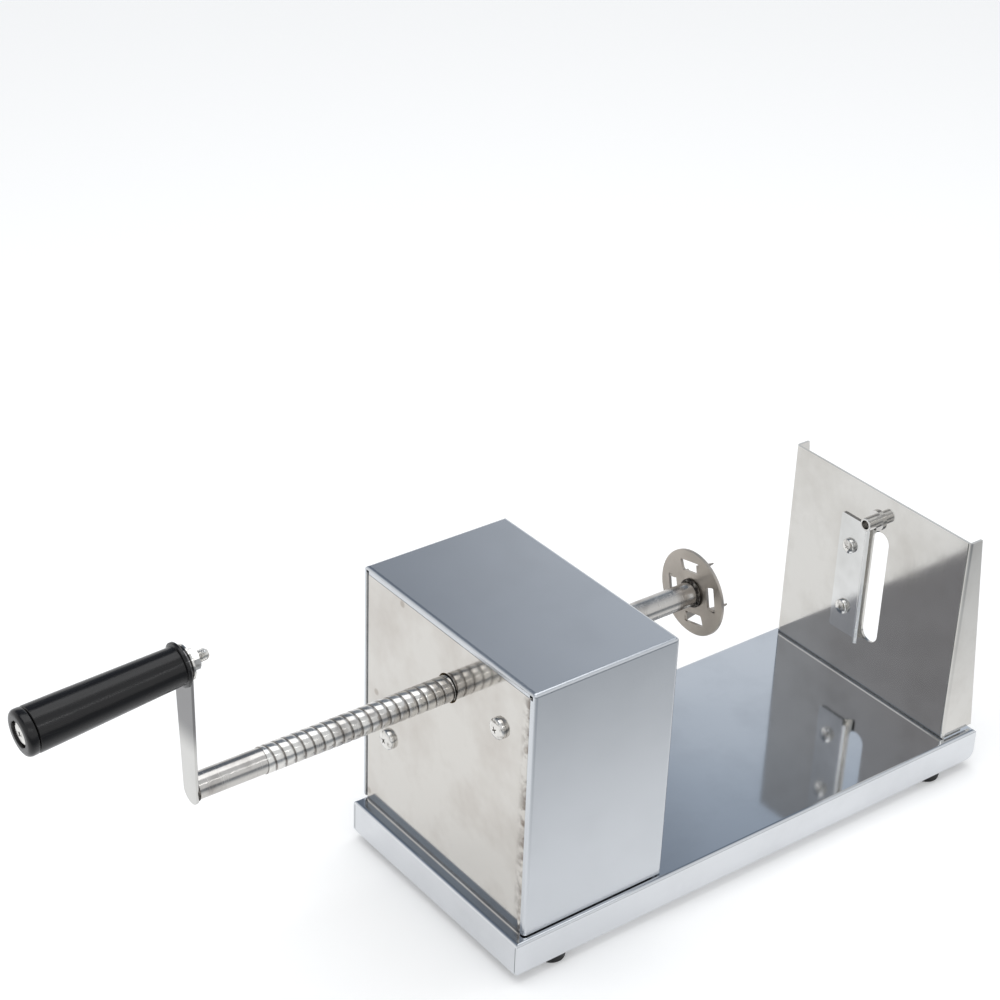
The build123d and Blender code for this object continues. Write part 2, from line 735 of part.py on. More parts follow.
with BuildPart() as fork_disc:
    with BuildSketch(across_shaft(fork_back)):
        Circle(fork_radius)
        Circle(spigot_radius + running_fit, mode=Mode.SUBTRACT)
        with BuildSketch(mode=Mode.SUBTRACT) as windows:
            with PolarLocations(0, window_count, start_angle=90 - window_turn):
                Polygon((window_inner, -window_inner_width / 2), (window_outer, -window_outer_width / 2),
                        (window_outer, window_outer_width / 2), (window_inner, window_inner_width / 2), align=None)
            fillet(windows.vertices(), window_corner)
    extrude(amount=fork_thickness)
    # each prong is the window's tab, bent forward along one end of the window
    flare = (window_outer_width - window_inner_width) / 2
    end_length = hypot(window_outer - window_inner, flare)
    for i in range(window_count):
        turn = radians(window_turn + 360 / window_count * i)
        outward = Vector(0, sin(turn), cos(turn))
        around = Vector(0, cos(turn), -sin(turn))
        corner = Vector(fork_back, 0, shaft_z) + outward * window_inner - around * (window_inner_width / 2)
        inward = around * (window_outer - window_inner) + outward * flare
        with BuildSketch(Plane(origin=corner, x_dir=(1, 0, 0), z_dir=-inward)):
            Polygon((0, window_corner), (fork_thickness, window_corner),
                    (fork_thickness + prong_length, end_length / 2), (fork_thickness, end_length - window_corner),
                    (0, end_length - window_corner), align=None)
        extrude(amount=-prong_thickness)
finish(fork_disc.part, "fork_disc")

with BuildPart() as shaft_welds:
    for joint, reach in ((shaft_start, weld_length + arm_thickness), (fork_back, -weld_length)):
        with BuildSketch(shaft_section):
            with BuildLine():
                Polyline((joint, shaft_radius + running_fit), (joint, shaft_radius + weld_leg),
                         (joint + reach, shaft_radius + running_fit), close=True)
            make_face()
        revolve(axis=shaft_axis)
    split(bisect_by=arm_inner_face, keep=Keep.TOP)
finish(shaft_welds.part, "shaft_welds")

# ------------------------------------------------ blade plate: a folded upright with tapering side flanges

with BuildPart() as blade_plate:
    with BuildSketch(Plane.YZ.offset(plate_face)):
        with Locations((plate_middle, base_top + plate_height / 2)):
            Rectangle(plate_width, plate_height)
    extrude(amount=plate_foot_depth)
    fillet(blade_plate.faces().sort_by(Axis.X)[0].edges().sort_by(Axis.Z)[:-1], plate_bend)
    offset(amount=-plate_sheet,
           openings=[blade_plate.faces().sort_by(Axis.X)[-1], blade_plate.faces().sort_by(Axis.Z)[-1]])
    # side flanges narrow from the foot to the top
    with BuildSketch(Plane.XZ.offset(-plate_middle)):
        Polygon((plate_face + plate_top_depth, plate_top), (plate_face + plate_foot_depth, base_top),
                (plate_face + plate_foot_depth, plate_top), align=None)
    extrude(amount=plate_width, both=True, mode=Mode.SUBTRACT)
    # relief notches at the lower corners, and the foot flange's shorter reach
    with BuildSketch(Plane.XY.offset(base_top)):
        with Locations((plate_face + plate_bend + plate_foot_depth / 2, plate_middle)):
            with GridLocations(0, plate_width, 1, 2):
                Rectangle(plate_foot_depth, plate_relief)
        with Locations((plate_face + plate_foot_flange + plate_relief, plate_middle)):
            Rectangle(2 * plate_relief, plate_width - plate_relief)
    extrude(amount=plate_relief / 2, mode=Mode.SUBTRACT)
    with BuildSketch(Plane.YZ.offset(plate_face)):
        with Locations((-slot_offset, slot_middle)):
            SlotOverall(slot_length, slot_width, rotation=90)
    extrude(amount=plate_sheet, mode=Mode.SUBTRACT)
    drill([(0, 0)], across_shaft(plate_face), tube_radius + running_fit, plate_sheet)
    drill([(blade_screw_y, z) for z in blade_screw_z], Plane.YZ.offset(plate_face), m5_radius + screw_play, plate_sheet)
    drill(plate_foot_places, Plane.XY.offset(base_top), m4_radius + screw_play, plate_bend)
finish(blade_plate.part, "blade_plate")

plate_foot_top = base_top + plate_sheet
plate_seats = [Plane(origin=(x, y, plate_foot_top), z_dir=(0, 0, 1)) for x, y in plate_foot_places]
plate_screws = screws(plate_seats, m4_radius, m4_head_radius, m4_head_height,
                      plate_sheet + base_sheet + m4_nut_height + screw_end)
finish(plate_screws.part, "plate_screws")

plate_nut_seats = [Plane(origin=(x, y, under_base), z_dir=(0, 0, -1)) for x, y in plate_foot_places]
plate_nuts = nuts(plate_nut_seats, m4_radius, m4_nut_flats, m4_nut_height)
finish(plate_nuts.part, "plate_nuts")

# ------------------------------------------------ blade: a strip whose edge is joggled up beside the slot

blade_edge = blade_inner_y - blade_rise_run - blade_lip
with BuildPart() as blade:
    with BuildSketch(Plane.XY.offset(base_top + blade_bottom)):
        with BuildLine():
            Polyline((blade_face, blade_outer_y), (blade_face, blade_inner_y),
                     (blade_face - blade_rise, blade_inner_y - blade_rise_run),
                     (blade_face - blade_rise, blade_edge + blade_bevel), (plate_face - blade_rise, blade_edge),
                     (plate_face - blade_rise, blade_inner_y - blade_rise_run),
                     (plate_face, blade_inner_y), (plate_face, blade_outer_y), close=True)
        make_face()
    extrude(amount=blade_top - blade_bottom)
    outer_corners = blade.edges().filter_by(Axis.X).group_by(Axis.Y)[-1]
    fillet(outer_corners, blade_corner)
    drill([(blade_screw_y, z) for z in blade_screw_z], Plane.YZ.offset(plate_face), m5_radius + screw_play, blade_sheet)
finish(blade.part, "blade")

blade_seats = [Plane(origin=(blade_face, blade_screw_y, z), x_dir=(0, 1, 0), z_dir=(-1, 0, 0)) for z in blade_screw_z]
blade_screws = screws(blade_seats, m5_radius, m5_head_radius, m5_head_height,
                      blade_sheet + plate_sheet + m5_nut_height + screw_end)
finish(blade_screws.part, "blade_screws")

blade_nut_seats = [Plane(origin=(plate_back, blade_screw_y, z), z_dir=(1, 0, 0)) for z in blade_screw_z]
blade_nuts = nuts(blade_nut_seats, m5_radius, m5_nut_flats, m5_nut_height)
finish(blade_nuts.part, "blade_nuts")

# ------------------------------------------------ skewer tube through the blade plate, on the shaft axis

with BuildPart() as skewer_tube:
    with BuildSketch(shaft_section):
        with BuildLine():
            Polyline((plate_face - tube_front, skewer_radius + skewer_play), (plate_face - tube_front, tube_radius),
                     (plate_face - tube_collar, tube_radius), (plate_face - tube_collar, tube_collar_radius),
                     (plate_face, tube_collar_radius), (plate_face, tube_radius),
                     (plate_back + tube_back, tube_radius), (plate_back + tube_back, skewer_radius + skewer_play),
                     close=True)
        make_face()
    revolve(axis=shaft_axis)
    chamfer(skewer_tube.faces().sort_by(Axis.X)[0].edges().sort_by(SortBy.LENGTH)[-1], thread_edge)
finish(skewer_tube.part, "skewer_tube")
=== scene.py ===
"""Dresses the hand-cranked spiral potato cutter: finishes for its sheet steel, shaft, fasteners, grip and feet,
round pieces turned smooth in place of the solids' facets, and a pale studio with the photograph's camera."""

import math

import bpy
from mathutils import Matrix, Vector


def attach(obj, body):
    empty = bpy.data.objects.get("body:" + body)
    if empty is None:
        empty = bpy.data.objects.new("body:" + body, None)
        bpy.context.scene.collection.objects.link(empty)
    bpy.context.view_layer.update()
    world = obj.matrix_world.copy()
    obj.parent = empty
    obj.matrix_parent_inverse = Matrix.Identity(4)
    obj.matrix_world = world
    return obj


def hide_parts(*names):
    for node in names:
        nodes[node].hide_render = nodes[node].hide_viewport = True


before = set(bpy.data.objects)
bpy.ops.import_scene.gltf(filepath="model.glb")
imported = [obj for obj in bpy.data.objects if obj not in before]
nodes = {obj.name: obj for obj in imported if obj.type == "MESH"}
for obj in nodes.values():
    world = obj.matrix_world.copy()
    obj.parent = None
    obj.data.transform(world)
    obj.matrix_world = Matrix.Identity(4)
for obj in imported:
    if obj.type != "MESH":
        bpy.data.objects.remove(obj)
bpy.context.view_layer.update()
MM = 0.001

# ---------------------------------------------------------------- sizes in millimetres, as in the solids

SHAFT_Z = 140.0
SHAFT_RADIUS = 6.75
SHAFT_START = -314.1
THREAD_START = -274.0
THREAD_END = -105.0
THREAD_RADIUS = 7.25
THREAD_PITCH = 5.6
GROOVE_PLACE = -276.8
GROOVE_DEPTH = 0.45
FORK_BACK = 2.0
FORK_FRONT = 3.8
FORK_RADIUS = 25.0
PANEL_FACE = -162.7
PLATE_FACE = 145.0

ARM_THICKNESS = 1.5
ARM_THROW = 80.0
ARM_LEAN = math.radians(-7.0)
ARM_SPLAY = math.radians(5.0)
ARM_UP = Vector((-math.sin(ARM_SPLAY), math.cos(ARM_SPLAY) * math.sin(ARM_LEAN),
                 math.cos(ARM_SPLAY) * math.cos(ARM_LEAN)))
ARM_THROUGH = Vector((math.cos(ARM_SPLAY), math.sin(ARM_SPLAY) * math.sin(ARM_LEAN),
                      math.sin(ARM_SPLAY) * math.cos(ARM_LEAN)))
ARM_FOOT = Vector((SHAFT_START, 0, SHAFT_Z))
GRIP_HUB = ARM_FOOT + ARM_UP * ARM_THROW

SPOT_WELDS = ((41, 169.1), (64, 101.5), (70.5, 32.3), (-66, 139.9), (-66, 95.2))
SPOT_RIM, SPOT_CORE = 2.6, 1.2
# painted shade: (edge, end) in y of a patchy dark margin along the front panel's edge beside the cover's side
# lip
EDGE_SHADE_MARGIN = (-67.3, -61.0)
# painted reflection: heights in z over which the crank arm darkens towards the grip, standing in for the black
# grip mirrored in it
GRIP_REFLECTION_HEIGHTS = (163.0, 184.0)

# ---------------------------------------------------------------- colours and node helpers


def linear(hex_colour, alpha=1.0):
    """sRGB hex to the linear colour that a shader socket takes."""
    parts = [int(hex_colour[i:i + 2], 16) / 255 for i in (1, 3, 5)]
    return tuple(p / 12.92 if p <= 0.04045 else ((p + 0.055) / 1.055) ** 2.4 for p in parts) + (alpha,)


def add(tree, kind, settings=None, **sockets):
    """Adds one node, sets its properties, and fills its sockets by name, with underscores for spaces, or by
    index as i0, i1."""
    made = tree.nodes.new(kind)
    for name, value in (settings or {}).items():
        setattr(made, name, value)
    for name, value in sockets.items():
        key = int(name[1:]) if name[0] == "i" and name[1:].isdigit() else name.replace("_", " ")
        socket = made.inputs[key]
        if isinstance(value, bpy.types.NodeSocket):
            tree.links.new(value, socket)
        else:
            socket.default_value = value
    return made


def surface(name, colour, metallic, roughness):
    """A new material with one Principled shader; gives back the material, its tree, the shader and the object
    coordinates."""
    made = bpy.data.materials.new(name)
    made.use_nodes = True
    tree = made.node_tree
    shader = tree.nodes["Principled BSDF"]
    shader.inputs["Base Color"].default_value = linear(colour)
    shader.inputs["Metallic"].default_value = metallic
    shader.inputs["Roughness"].default_value = roughness
    return made, tree, shader, add(tree, "ShaderNodeTexCoord").outputs["Object"]


# ---------------------------------------------------------------- materials


def sheet_steel(name, colour, worn_colour, roughness, grain, smudge, line=0.05, wave_mm=0.2, marks=(),
                grime_and_edge_shade=None, painted_reflection=None):
    """Cold-rolled 304 stainless sheet: a near mirror with faint rolling lines along the grain axis, softer
    patches where it has been handled, and a face that is not quite flat. Rolled lines are 0.7 mm apart, handled
    patches about 38 mm across and waves about 90 mm long. smudge and line say how much roughness the patches
    and the lines add, and wave_mm how deep the waves are. marks are (y, z) places of spot welds seen through
    the sheet; the next argument is (edge, end) in y of a margin of patchy painted shade along the sheet's edge,
    and the last is (start, end) in z over which a painted reflection of the black grip darkens the steel."""
    made, tree, shader, where = surface(name, colour, 1.0, roughness)
    stretch = tuple(1 / 70 if axis == grain else 1.0 for axis in "XYZ")
    rolled = add(tree, "ShaderNodeMapping", Vector=where, Scale=stretch).outputs[0]
    lines = add(tree, "ShaderNodeTexNoise", Vector=rolled, Scale=1 / (0.7 * MM), Detail=2.0).outputs[0]
    smears = add(tree, "ShaderNodeTexNoise", Vector=where, Scale=1 / (38 * MM), Detail=5.0,
                 Roughness=0.6).outputs[0]
    handled = add(tree, "ShaderNodeMapRange", Value=smears, From_Min=0.45, From_Max=0.72).outputs[0]
    dulled = add(tree, "ShaderNodeMath", {"operation": "MULTIPLY_ADD"}, i0=handled, i1=smudge,
                 i2=roughness - 0.02).outputs[0]
    lined = add(tree, "ShaderNodeMath", {"operation": "MULTIPLY_ADD"}, i0=lines, i1=line, i2=dulled).outputs[0]
    tree.links.new(lined, shader.inputs["Roughness"])
    tone = add(tree, "ShaderNodeMix", {"data_type": "RGBA"}, i0=handled, i6=linear(colour),
               i7=linear(worn_colour)).outputs[2]
    for y, z in marks:
        away = add(tree, "ShaderNodeVectorMath", {"operation": "DISTANCE"}, i0=where,
                   i1=(PANEL_FACE * MM, y * MM, z * MM)).outputs["Value"]
        ring = add(tree, "ShaderNodeMapRange", {"interpolation_type": "SMOOTHSTEP"}, Value=away,
                   From_Min=SPOT_RIM * MM, From_Max=SPOT_CORE * MM, To_Max=0.45).outputs[0]
        tone = add(tree, "ShaderNodeMix", {"data_type": "RGBA"}, i0=ring, i6=tone,
                   i7=linear("#8b7f73")).outputs[2]
    # Painted shade: a patchy dark margin along the sheet's edge, where it meets the cover's side lip.
    if grime_and_edge_shade:
        across = add(tree, "ShaderNodeSeparateXYZ", Vector=where).outputs["Y"]
        margin = add(tree, "ShaderNodeMapRange", Value=across, From_Min=grime_and_edge_shade[1] * MM,
                     From_Max=grime_and_edge_shade[0] * MM).outputs[0]
        shade_noise = add(tree, "ShaderNodeTexNoise", Vector=where, Scale=1 / (5 * MM), Detail=6.0).outputs[0]
        patchy = add(tree, "ShaderNodeMapRange", Value=shade_noise, From_Min=0.42, From_Max=0.62,
                     To_Max=0.75).outputs[0]
        edge_shade = add(tree, "ShaderNodeMath", {"operation": "MULTIPLY"}, i0=margin, i1=patchy).outputs[0]
        tone = add(tree, "ShaderNodeMix", {"data_type": "RGBA"}, i0=edge_shade, i6=tone,
                   i7=linear("#54443a")).outputs[2]
    # Painted reflection: the steel darkens towards the top, standing in for the black grip mirrored in it.
    if painted_reflection:
        height = add(tree, "ShaderNodeSeparateXYZ", Vector=where).outputs["Z"]
        reflected_grip = add(tree, "ShaderNodeMapRange", {"interpolation_type": "SMOOTHSTEP"}, Value=height,
                   From_Min=painted_reflection[0] * MM, From_Max=painted_reflection[1] * MM, To_Max=0.8).outputs[0]
        tone = add(tree, "ShaderNodeMix", {"data_type": "RGBA"}, i0=reflected_grip, i6=tone,
                   i7=linear("#5b5a5d")).outputs[2]
    tree.links.new(tone, shader.inputs["Base Color"])
    waves = add(tree, "ShaderNodeTexNoise", Vector=where, Scale=1 / (90 * MM), Detail=1.0).outputs[0]
    bent = add(tree, "ShaderNodeBump", Height=waves, Distance=wave_mm * MM).outputs[0]
    tree.links.new(bent, shader.inputs["Normal"])
    return made


def bright_bar(name, colour, roughness, groove_radius=0.0):
    """Bright drawn stainless bar: fine marks round it, 0.6 mm apart, a few darker stains, and where it has a
    groove, of the outer radius given, painted shade that darkens the groove."""
    made, tree, shader, where = surface(name, colour, 1.0, roughness)
    around = add(tree, "ShaderNodeMapping", Vector=where, Scale=(1.0, 1 / 30, 1 / 30)).outputs[0]
    rings = add(tree, "ShaderNodeTexNoise", Vector=around, Scale=1 / (0.6 * MM), Detail=2.0).outputs[0]
    rough = add(tree, "ShaderNodeMapRange", Value=rings, From_Min=0.3, From_Max=0.7, To_Min=roughness - 0.04,
                To_Max=roughness + 0.08).outputs[0]
    tree.links.new(rough, shader.inputs["Roughness"])
    stains = add(tree, "ShaderNodeTexNoise", Vector=where, Scale=1 / (14 * MM), Detail=3.0).outputs[0]
    stained = add(tree, "ShaderNodeMapRange", Value=stains, From_Min=0.5, From_Max=0.8).outputs[0]
    tone = add(tree, "ShaderNodeMix", {"data_type": "RGBA"}, i0=stained, i6=linear(colour),
               i7=linear("#9b9692")).outputs[2]
    # Painted shade: the groove is darkened by how far it sinks below the lands.
    if groove_radius:
        centred = add(tree, "ShaderNodeMapping", {"vector_type": "POINT"}, Vector=where,
                      Location=(0, 0, -SHAFT_Z * MM), Scale=(0, 1, 1)).outputs[0]
        reach = add(tree, "ShaderNodeVectorMath", {"operation": "LENGTH"}, i0=centred).outputs["Value"]
        groove_shade = add(tree, "ShaderNodeMapRange", Value=reach, From_Min=(groove_radius - 0.04) * MM,
                   From_Max=(groove_radius - 0.25) * MM, To_Max=0.85).outputs[0]
        tone = add(tree, "ShaderNodeMix", {"data_type": "RGBA"}, i0=groove_shade, i6=tone,
                   i7=linear("#7a7570")).outputs[2]
    tree.links.new(tone, shader.inputs["Base Color"])
    return made


def plated_steel(name, colour):
    """Nickel-plated screws and nuts: bright, with a little grime in patches."""
    made, tree, shader, where = surface(name, colour, 1.0, 0.17)
    grime_and_edge_shade = add(tree, "ShaderNodeTexNoise", Vector=where, Scale=1 / (2.5 * MM), Detail=3.0).outputs[0]
    held = add(tree, "ShaderNodeMapRange", Value=grime_and_edge_shade, From_Min=0.52, From_Max=0.8).outputs[0]
    tone = add(tree, "ShaderNodeMix", {"data_type": "RGBA"}, i0=held, i6=linear(colour),
               i7=linear("#7d7973")).outputs[2]
    tree.links.new(tone, shader.inputs["Base Color"])
    return made


def moulded_phenolic(name):
    """Compression-moulded black phenolic: deep glossy black with faint lengthwise wipe marks and fine pits."""
    made, tree, shader, where = surface(name, "#100f10", 0.0, 0.22)
    lengthwise = add(tree, "ShaderNodeMapping", Vector=where, Scale=(1 / 60, 1.0, 1.0)).outputs[0]
    wipes = add(tree, "ShaderNodeTexNoise", Vector=lengthwise, Scale=1 / (0.9 * MM), Detail=2.0).outputs[0]
    rough = add(tree, "ShaderNodeMapRange", Value=wipes, From_Min=0.3, From_Max=0.7, To_Min=0.17,
                To_Max=0.3).outputs[0]
    tree.links.new(rough, shader.inputs["Roughness"])
    pits = add(tree, "ShaderNodeTexNoise", Vector=where, Scale=1 / (0.8 * MM), Detail=2.0).outputs[0]
    skin = add(tree, "ShaderNodeBump", Height=pits, Strength=0.25, Distance=0.02 * MM).outputs[0]
    tree.links.new(skin, shader.inputs["Normal"])
    shader.inputs["Specular IOR Level"].default_value = 0.4
    return made


def matt_rubber(name):
    """Moulded black rubber feet: matt, fine-grained, dusty grey in patches."""
    made, tree, shader, where = surface(name, "#141415", 0.0, 0.75)
    grain = add(tree, "ShaderNodeTexNoise", Vector=where, Scale=1 / (0.7 * MM), Detail=3.0).outputs[0]
    dusty = add(tree, "ShaderNodeMapRange", Value=grain, From_Min=0.5, From_Max=0.8).outputs[0]
    tone = add(tree, "ShaderNodeMix", {"data_type": "RGBA"}, i0=dusty, i6=linear("#141415"),
               i7=linear("#2c2c2d")).outputs[2]
    tree.links.new(tone, shader.inputs["Base Color"])
    skin = add(tree, "ShaderNodeBump", Height=grain, Strength=0.4, Distance=0.1 * MM).outputs[0]
    tree.links.new(skin, shader.inputs["Normal"])
    return made


def turned_brass(name):
    """Turned brass nut: warm yellow with fine lathe rings."""
    made, tree, shader, where = surface(name, "#c9a45c", 1.0, 0.25)
    around = add(tree, "ShaderNodeMapping", Vector=where, Scale=(1.0, 1 / 40, 1 / 40)).outputs[0]
    rings = add(tree, "ShaderNodeTexNoise", Vector=around, Scale=1 / (0.4 * MM), Detail=2.0).outputs[0]
    rough = add(tree, "ShaderNodeMapRange", Value=rings, From_Min=0.3, From_Max=0.7, To_Min=0.2,
                To_Max=0.36).outputs[0]
    tree.links.new(rough, shader.inputs["Roughness"])
    return made


def white_nylon(name):
    """Turned white nylon bush: soft, slightly milky, with faint tool marks."""
    made, tree, shader, where = surface(name, "#dcd9cf", 0.0, 0.45)
    shader.inputs["Subsurface Weight"].default_value = 0.1
    shader.inputs["Subsurface Scale"].default_value = 2 * MM
    around = add(tree, "ShaderNodeMapping", Vector=where, Scale=(1.0, 1 / 30, 1 / 30)).outputs[0]
    rings = add(tree, "ShaderNodeTexNoise", Vector=around, Scale=1 / (0.5 * MM), Detail=2.0).outputs[0]
    rough = add(tree, "ShaderNodeMapRange", Value=rings, From_Min=0.3, From_Max=0.7, To_Min=0.38,
                To_Max=0.55).outputs[0]
    tree.links.new(rough, shader.inputs["Roughness"])
    return made


def weld_scale(name):
    """Hand-laid weld on stainless: dark oxide scale with brighter metal where it was brushed."""
    made, tree, shader, where = surface(name, "#332f2c", 0.9, 0.38)
    blotch = add(tree, "ShaderNodeTexNoise", Vector=where, Scale=1 / (2.2 * MM), Detail=3.0).outputs[0]
    brushed = add(tree, "ShaderNodeMapRange", Value=blotch, From_Min=0.45, From_Max=0.7).outputs[0]
    tone = add(tree, "ShaderNodeMix", {"data_type": "RGBA"}, i0=brushed, i6=linear("#332f2c"),
               i7=linear("#8f8a84")).outputs[2]
    tree.links.new(tone, shader.inputs["Base Color"])
    ripple = add(tree, "ShaderNodeTexNoise", Vector=where, Scale=1 / (0.9 * MM), Detail=2.0).outputs[0]
    skin = add(tree, "ShaderNodeBump", Height=ripple, Strength=0.6, Distance=0.3 * MM).outputs[0]
    tree.links.new(skin, shader.inputs["Normal"])
    return made


finishes = {
    "base_tray": sheet_steel("mirror_304_base", "#d8dadd", "#d2d4d7", 0.06, "X", 0.02),
    "housing_cover": sheet_steel("satin_304_cover", "#cdd0d4", "#c9ccd0", 0.27, "X", 0.01, line=0.015),
    "front_panel": sheet_steel("bright_304_front_panel", "#cecbc6", "#c2bdb7", 0.075, "Z", 0.045,
                               marks=SPOT_WELDS, grime_and_edge_shade=EDGE_SHADE_MARGIN),
    "rear_panel": sheet_steel("bright_304_rear_panel", "#d6d4cf", "#c9c5be", 0.15, "Z", 0.10),
    "blade_plate": sheet_steel("mirror_304_blade_plate", "#cfcdc9", "#c2bfba", 0.08, "Z", 0.04),
    "feed_plate": sheet_steel("mill_304_feed_plate", "#b5b4b2", "#9f9d9a", 0.3, "Z", 0.1),
    "feed_shaft": bright_bar("bright_304_feed_shaft", "#e4e2de", 0.2, THREAD_RADIUS),
    "crank_arm": sheet_steel("bright_304_flat_bar", "#c9c8c5", "#c0bfbc", 0.12, "Z", 0.04, painted_reflection=GRIP_REFLECTION_HEIGHTS),
    "fork_disc": sheet_steel("satin_304_fork_disc", "#b3aca4", "#a39c95", 0.3, "Z", 0.12),
    "blade": sheet_steel("honed_420_blade", "#d9d9d8", "#c8c8c6", 0.12, "Z", 0.06),
    "skewer_tube": bright_bar("bright_304_skewer_tube", "#cfcdca", 0.18),
    "shaft_welds": weld_scale("weld_scale_on_304"),
    "grip": moulded_phenolic("moulded_black_phenolic"),
    "rubber_feet": matt_rubber("moulded_black_rubber"),
    "feed_nut": turned_brass("turned_brass_nut"),
    "guide_bush": white_nylon("turned_white_nylon"),
}
finishes["grip_end_cap"] = finishes["grip"]
plain_bar = bright_bar("bright_304_rod", "#c6c3bf", 0.2)
plated = plated_steel("nickel_plated_fasteners", "#dcdad6")
for name, solid in nodes.items():
    solid.data.materials.clear()
    solid.data.materials.append(finishes.get(name, plated))

# ---------------------------------------------------------------- ways of making the pieces

ROUND_SEGMENTS = 64
SMOOTH_ANGLE = math.radians(32)


def alone(piece):
    """Selects one piece and nothing else."""
    bpy.ops.object.select_all(action="DESELECT")
    bpy.context.view_layer.objects.active = piece
    piece.select_set(True)


def turned(name, stations, segments=ROUND_SEGMENTS, hollow=False):
    """A round piece drawn out along +Z from one circle, station by station, each a height and a radius in mm. A
    hollow one runs out and back round its wall and is closed where it began."""
    (height, radius), rest = stations[0], stations[1:]
    bpy.ops.object.select_all(action="DESELECT")
    bpy.ops.mesh.primitive_circle_add(vertices=segments, radius=radius * MM, location=(0, 0, height * MM),
                                      fill_type="NOTHING" if hollow else "NGON")
    made = bpy.context.object
    made.name = name
    bpy.ops.object.transform_apply(location=True, rotation=True, scale=True)
    bpy.ops.object.mode_set(mode="EDIT")
    bpy.ops.mesh.select_all(action="SELECT")
    for next_height, next_radius in rest:
        bpy.ops.mesh.extrude_region_move(TRANSFORM_OT_translate={
            "value": (0, 0, (next_height - height) * MM), "orient_type": "GLOBAL"})
        spread = next_radius / radius
        bpy.ops.transform.resize(value=(spread, spread, 1), center_override=(0, 0, next_height * MM))
        height, radius = next_height, next_radius
    bpy.ops.mesh.select_all(action="SELECT")
    if hollow:
        bpy.ops.mesh.remove_doubles(threshold=0.002 * MM)
    bpy.ops.mesh.normals_make_consistent(inside=False)
    bpy.ops.object.mode_set(mode="OBJECT")
    return made


def carve(piece, cutter, operation="DIFFERENCE"):
    """Cuts a piece with another, or keeps what both share; the cutter is used up."""
    alone(piece)
    bpy.ops.object.modifier_add(type="BOOLEAN")
    cut = piece.modifiers[-1]
    cut.operation, cut.object, cut.solver = operation, cutter, "EXACT"
    bpy.ops.object.modifier_apply(modifier=cut.name)
    bpy.data.objects.remove(cutter)
    return piece


def soften(piece, width, segments=2, angle=35.0):
    """Rounds every edge sharper than the angle by a width in mm."""
    alone(piece)
    bpy.ops.object.modifier_add(type="BEVEL")
    edge = piece.modifiers[-1]
    edge.width, edge.segments = width * MM, segments
    edge.limit_method, edge.angle_limit = "ANGLE", math.radians(angle)
    bpy.ops.object.modifier_apply(modifier=edge.name)
    return piece


def bar(name, size, place=(0, 0, 0)):
    """A block of a size at a place, in mm, as a start for a cutter or a tab."""
    bpy.ops.object.select_all(action="DESELECT")
    bpy.ops.mesh.primitive_cube_add(size=MM, location=tuple(p * MM for p in place), scale=size)
    made = bpy.context.object
    made.name = name
    bpy.ops.object.transform_apply(location=True, rotation=True, scale=True)
    return made


def copy_of(piece, name):
    """A copy of a piece with its own mesh."""
    made = piece.copy()
    made.data = piece.data.copy()
    made.name = name
    bpy.context.scene.collection.objects.link(made)
    return made


def joined(first, *others):
    """Makes one piece of several, each keeping its own finish."""
    alone(first)
    for other in others:
        other.select_set(True)
    bpy.ops.object.join()
    return first


def put(piece, place, out, roll=0.0):
    """Stands a piece made along +Z at a place in mm, its +Z turned to point out, and fixes it there."""
    alone(piece)
    turn = Vector(out).to_track_quat("Z", "Y").to_matrix().to_4x4() @ Matrix.Rotation(roll, 4, "Z")
    piece.rotation_euler = turn.to_euler()
    piece.location = Vector(place) * MM
    bpy.ops.object.transform_apply(location=True, rotation=True, scale=True)
    return piece


def settle(piece, finish, body, *solids):
    """Gives a piece its finish, where one is given, and smooth faces, and has it ride on a body in place of the
    solids it stands for."""
    if finish:
        piece.data.materials.clear()
        piece.data.materials.append(finish)
    alone(piece)
    bpy.ops.object.shade_smooth_by_angle(angle=SMOOTH_ANGLE)
    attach(piece, body)
    if solids:
        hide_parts(*solids)
    return piece


# ---------------------------------------------------------------- feed shaft

GROOVE_FLOOR = THREAD_RADIUS - GROOVE_DEPTH
LAND_EDGE = THREAD_RADIUS - 0.05
# a groove's side from its middle up to the crowned land: how far along and how far out
GROOVE_SIDE = ((0.3, GROOVE_FLOOR), (0.5, LAND_EDGE - 0.08), (0.8, LAND_EDGE), (1.9, THREAD_RADIUS))
STEPS_PER_TURN = 48
ROD_SHOULDER = THREAD_RADIUS - 0.46
ROD_TAPER = 0.4
SPIGOT_RADIUS = 5.0
SOCKET_RADIUS = 2.8
SOCKET_SHOWN = 8.0


